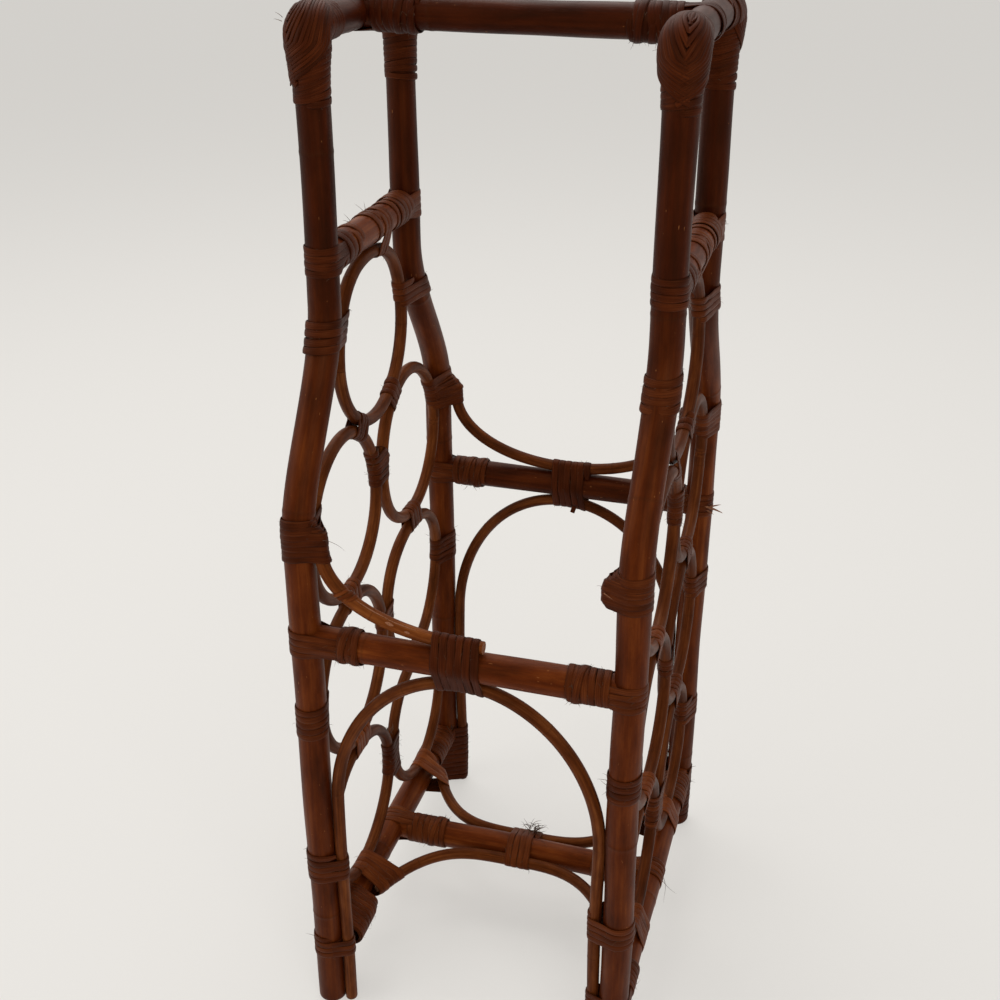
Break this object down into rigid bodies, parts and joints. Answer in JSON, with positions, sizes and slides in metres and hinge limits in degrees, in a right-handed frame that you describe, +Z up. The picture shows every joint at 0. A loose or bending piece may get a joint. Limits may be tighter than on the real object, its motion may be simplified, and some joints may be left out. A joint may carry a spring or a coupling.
{
  "type": "wicker wine rack",
  "caption": "Tall free-standing rattan wine rack with a carrying handle, bent cane rings on both sides that hold bottles lying across it, and cane peel bindings.",
  "frame": {"origin": "on the floor, in the middle of the four feet", "axes": "+X to the right seen from the front, the way that the handle rail and the bottles run; +Y from the front to the back; +Z up"},
  "size_m": [0.2452, 0.3024, 0.7204],
  "materials": {
    "pole": "stained and varnished rattan pole, satin",
    "cane": "stained and varnished bent cane, satin",
    "peel": "stained flat cane peel, dull satin"
  },
  "bodies": {
    "root": {"front_left_post": "pole", "front_right_post": "pole", "back_left_post": "pole", "back_right_post": "pole", "left_top_rail": "pole", "left_upper_rail": "pole", "left_bottom_rail": "pole", "right_top_rail": "pole", "right_upper_rail": "pole", "right_bottom_rail": "pole", "handle_rail": "pole", "bottom_cross_rail": "pole", "front_rail": "pole", "back_rail": "pole", "left_ring_top": "cane", "left_ring_second_front": "cane", "left_ring_second_back": "cane", "left_ring_third_front": "cane", "left_ring_third_back": "cane", "left_ring_bottom_front": "cane", "left_ring_bottom_back": "cane", "right_ring_top": "cane", "right_ring_second_front": "cane", "right_ring_second_back": "cane", "right_ring_third_front": "cane", "right_ring_third_back": "cane", "right_ring_bottom_front": "cane", "right_ring_bottom_back": "cane", "front_arch": "cane", "back_arch": "cane", "back_hanging_cane": "cane", "front_hanging_cane": "cane", "front_cane_stub": "cane", "front_floor_cane": "cane", "back_floor_cane": "cane", "front_left_corner_cap": "peel", "front_right_corner_cap": "peel", "back_left_corner_cap": "peel", "back_right_corner_cap": "peel", "handle_binding_left": "peel", "handle_binding_right": "peel", "front_left_upper_lashing": "peel", "front_right_upper_lashing": "peel", "back_left_upper_lashing": "peel", "back_right_upper_lashing": "peel", "left_upper_spiral": "peel", "right_upper_spiral": "peel", "front_centre_binding": "peel", "back_centre_binding": "peel", "floor_centre_binding": "peel", "front_left_rail_binding": "peel", "front_right_rail_binding": "peel", "back_left_rail_binding": "peel", "back_right_rail_binding": "peel", "front_left_hanging_tie": "peel", "front_right_hanging_tie": "peel", "front_left_leg_tie": "peel", "front_right_leg_tie": "peel", "front_left_foot_lashing": "peel", "front_right_foot_lashing": "peel"}
  },
  "joints": []
}
